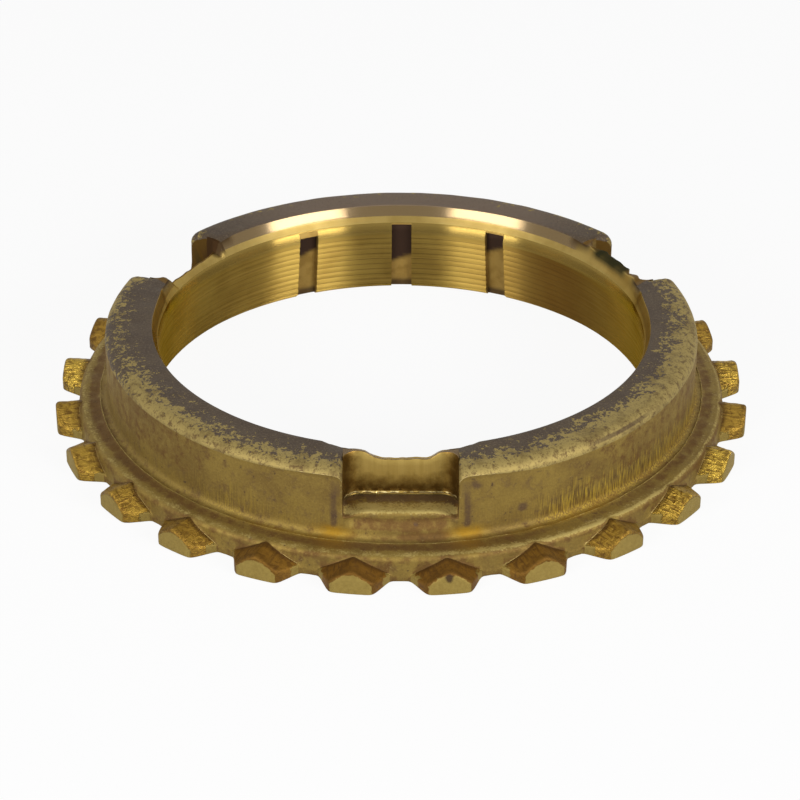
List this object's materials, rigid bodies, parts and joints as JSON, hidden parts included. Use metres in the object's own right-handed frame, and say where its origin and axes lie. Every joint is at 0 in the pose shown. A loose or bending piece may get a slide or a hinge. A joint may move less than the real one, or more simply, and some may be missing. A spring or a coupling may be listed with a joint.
{
  "type": "synchronizer ring",
  "caption": "Brass synchronizer ring with a tapered friction bore, axial oil grooves, pointed clutch teeth round its flange and key slots cut into its collar.",
  "frame": {"origin": "on the ring's axis, in the plane of the toothed face that it lies on", "axes": "+Z along the ring's axis from the toothed face to the collar's top face; -Y points out of the front key slot"},
  "size_m": [0.0848, 0.0848, 0.0121],
  "materials": {
    "brass": "forged brass, tarnished brown, worn bright at its edges and in its turned bore"
  },
  "bodies": {
    "root": {"synchronizer_ring": "brass"}
  },
  "joints": []
}
